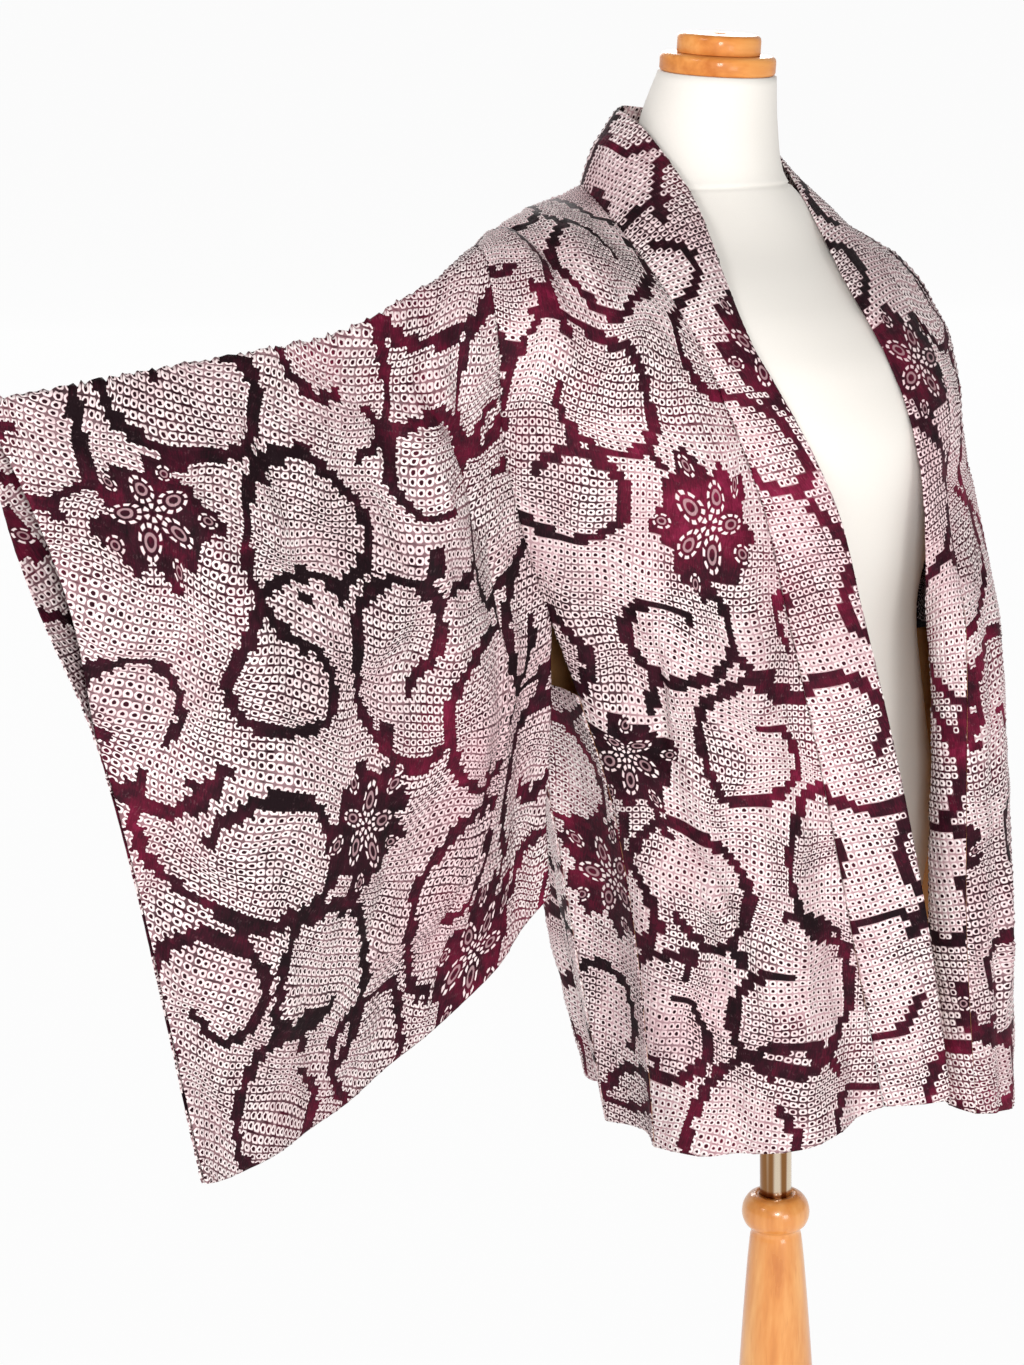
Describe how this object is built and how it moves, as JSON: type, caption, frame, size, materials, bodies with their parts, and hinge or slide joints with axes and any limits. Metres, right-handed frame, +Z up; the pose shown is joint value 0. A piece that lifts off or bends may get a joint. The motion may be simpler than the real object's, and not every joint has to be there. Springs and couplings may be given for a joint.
{
  "type": "haori kimono jacket on a limbless dress form with a wooden stand",
  "caption": "Hip-length haori kimono jacket of tied-dot cloth with scrolling vines, worn by a cream limbless dress form on a steel pole and a turned wooden stand.",
  "frame": {"origin": "on the floor, at the centre of the stand's base, with the pole along the Z axis", "axes": "+Z up; the dress form faces -Y; the wearer's right is -X and the wearer's left is +X"},
  "size_m": [1.0762, 0.5523, 1.513],
  "materials": {
    "cloth": "crinkled tied-dot silk, off-white with dark plum vines",
    "jersey": "smooth cream jersey cover",
    "wood": "turned and varnished, glossy orange-tan",
    "steel": "polished"
  },
  "bodies": {
    "root": {"body_right": "cloth", "body_left": "cloth", "gusset_right": "cloth", "gusset_left": "cloth", "sleeve_right": "cloth", "sleeve_left": "cloth", "collar": "cloth", "form_torso": "jersey", "cap_lower": "wood", "cap_upper": "wood", "pole": "steel", "stand_column": "wood", "stand_base": "wood"}
  },
  "joints": []
}
